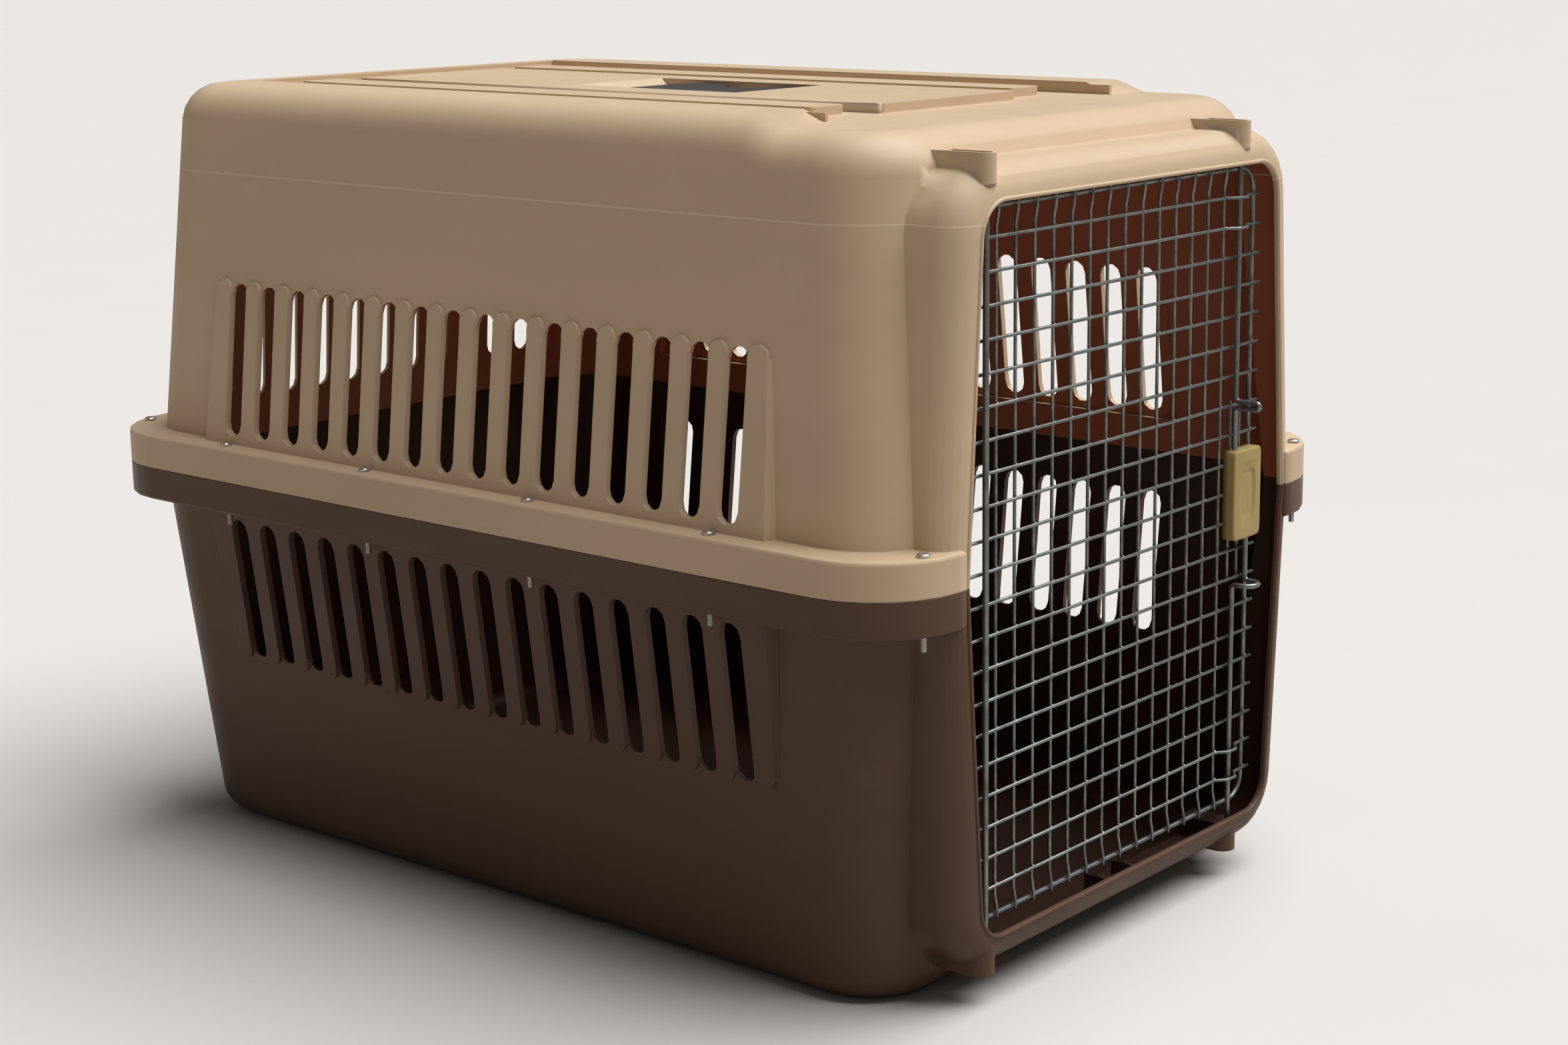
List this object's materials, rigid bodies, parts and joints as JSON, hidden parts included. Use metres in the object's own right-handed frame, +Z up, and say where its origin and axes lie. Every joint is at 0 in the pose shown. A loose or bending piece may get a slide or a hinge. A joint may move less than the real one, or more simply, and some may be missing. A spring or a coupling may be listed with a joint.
{
  "type": "pet transport carrier",
  "caption": "Rigid two-part moulded pet carrier with side and rear vents, a bolted rim, a hinged wire door with a sprung rod latch and a flip-up roof handle.",
  "frame": {"origin": "middle of the footprint, on the floor under the base", "axes": "+Z up; the door is on the -Y side, the long axis runs along Y; the door's hinge is on the -X side and its latch on the +X side"},
  "size_m": [0.64, 0.9596, 0.686],
  "materials": {
    "cream_plastic": "moulded, lightly grained",
    "brown_plastic": "moulded, lightly grained",
    "almond_plastic": "moulded, satin",
    "dark_grey_plastic": "moulded, glossy",
    "zinc_wire": "zinc plated, satin",
    "zinc_fasteners": "zinc plated",
    "spring_steel": "bright drawn wire"
  },
  "bodies": {
    "shells": {"upper_shell": "cream_plastic", "lower_shell": "brown_plastic", "rim_bolt_01": "zinc_fasteners", "rim_bolt_02": "zinc_fasteners", "rim_bolt_03": "zinc_fasteners", "rim_bolt_04": "zinc_fasteners", "rim_bolt_05": "zinc_fasteners", "rim_bolt_06": "zinc_fasteners", "rim_bolt_07": "zinc_fasteners", "rim_bolt_08": "zinc_fasteners", "rim_bolt_09": "zinc_fasteners", "rim_bolt_10": "zinc_fasteners", "rim_bolt_11": "zinc_fasteners", "rim_bolt_12": "zinc_fasteners", "rim_nut_01": "zinc_fasteners", "rim_nut_02": "zinc_fasteners", "rim_nut_03": "zinc_fasteners", "rim_nut_04": "zinc_fasteners", "rim_nut_05": "zinc_fasteners", "rim_nut_06": "zinc_fasteners", "rim_nut_07": "zinc_fasteners", "rim_nut_08": "zinc_fasteners", "rim_nut_09": "zinc_fasteners", "rim_nut_10": "zinc_fasteners", "rim_nut_11": "zinc_fasteners", "rim_nut_12": "zinc_fasteners", "handle_pin_left": "zinc_fasteners", "handle_pin_right": "zinc_fasteners"},
    "door": {"door_frame": "zinc_wire", "cross_wire_01": "zinc_wire", "cross_wire_02": "zinc_wire", "cross_wire_03": "zinc_wire", "cross_wire_04": "zinc_wire", "cross_wire_05": "zinc_wire", "cross_wire_06": "zinc_wire", "cross_wire_07": "zinc_wire", "cross_wire_08": "zinc_wire", "cross_wire_09": "zinc_wire", "cross_wire_10": "zinc_wire", "cross_wire_11": "zinc_wire", "cross_wire_12": "zinc_wire", "cross_wire_13": "zinc_wire", "cross_wire_14": "zinc_wire", "cross_wire_15": "zinc_wire", "cross_wire_16": "zinc_wire", "cross_wire_17": "zinc_wire", "cross_wire_18": "zinc_wire", "cross_wire_19": "zinc_wire", "cross_wire_20": "zinc_wire", "cross_wire_21": "zinc_wire", "hinge_rod": "zinc_wire", "latch_support_wire_left": "zinc_wire", "latch_support_wire_right": "zinc_wire", "latch_housing": "almond_plastic", "upper_latch_spring": "spring_steel", "lower_latch_spring": "spring_steel"},
    "upper_latch": {"upper_latch_rod": "zinc_wire"},
    "lower_latch": {"lower_latch_rod": "zinc_wire"},
    "handle": {"roof_handle": "dark_grey_plastic"}
  },
  "joints": [
    {"name": "door_hinge", "type": "hinge", "parent": "shells", "child": "door", "pos_m": [-0.1955, -0.46165, 0.342], "axis": [0, 0, -1], "range_deg": [0, 120]},
    {"name": "upper_latch_slide", "type": "slide", "parent": "door", "child": "upper_latch", "axis": [0, 0, -1], "range_m": [0, 0.03], "stiffness_N_per_m": 200, "springref_m": -0.01, "deforming": ["upper_latch_spring"]},
    {"name": "lower_latch_slide", "type": "slide", "parent": "door", "child": "lower_latch", "axis": [0, 0, 1], "range_m": [0, 0.03], "stiffness_N_per_m": 200, "springref_m": -0.01, "deforming": ["lower_latch_spring"]},
    {"name": "handle_flip", "type": "hinge", "parent": "shells", "child": "handle", "pos_m": [0, -0.084, 0.678], "axis": [1, 0, 0], "range_deg": [0, 100]}
  ]
}
